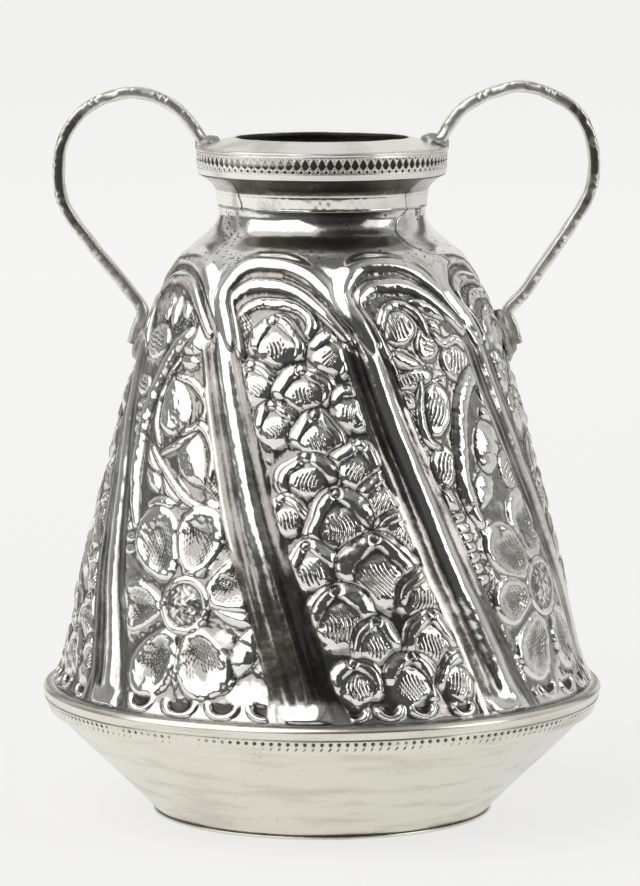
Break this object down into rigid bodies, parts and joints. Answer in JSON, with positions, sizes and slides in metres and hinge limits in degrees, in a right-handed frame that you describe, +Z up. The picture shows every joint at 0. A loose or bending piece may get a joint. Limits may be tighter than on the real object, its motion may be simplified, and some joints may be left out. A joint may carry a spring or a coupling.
{
  "type": "two-handled vase",
  "caption": "Two-handled vase with a chased tapering body, waist bead, cone-shaped lower bowl, flared collar, lattice rim band and sloping mouth plate.",
  "frame": {"origin": "centre of the base plate's underside, on the surface the vase stands on", "axes": "+Z up along the vase's axis; the handles lie along X, left handle at -X, and the front faces -Y"},
  "size_m": [0.112, 0.112, 0.1462],
  "materials": {
    "polished_silver": "hand-polished sheet silver, warm white with faint tool marks",
    "chased_silver": "chased relief in silver, polished on the heights and dark oxidised in the hollows",
    "lattice_silver": "sunk lattice of crossing arcs, dark in its recesses",
    "handle_silver": "bent strip with planished and lightly scratched faces",
    "solder": "greyer lumpy silver solder with a satin skin"
  },
  "bodies": {
    "root": {"base_plate": "polished_silver", "lower_bowl": "polished_silver", "waist_band": "polished_silver", "body_shell": "chased_silver", "neck_collar": "polished_silver", "rim_band": "lattice_silver", "mouth_plate": "polished_silver", "left_handle": "handle_silver", "right_handle": "handle_silver", "solder_left_upper": "solder", "solder_left_lower": "solder", "solder_right_upper": "solder", "solder_right_lower": "solder"}
  },
  "joints": []
}
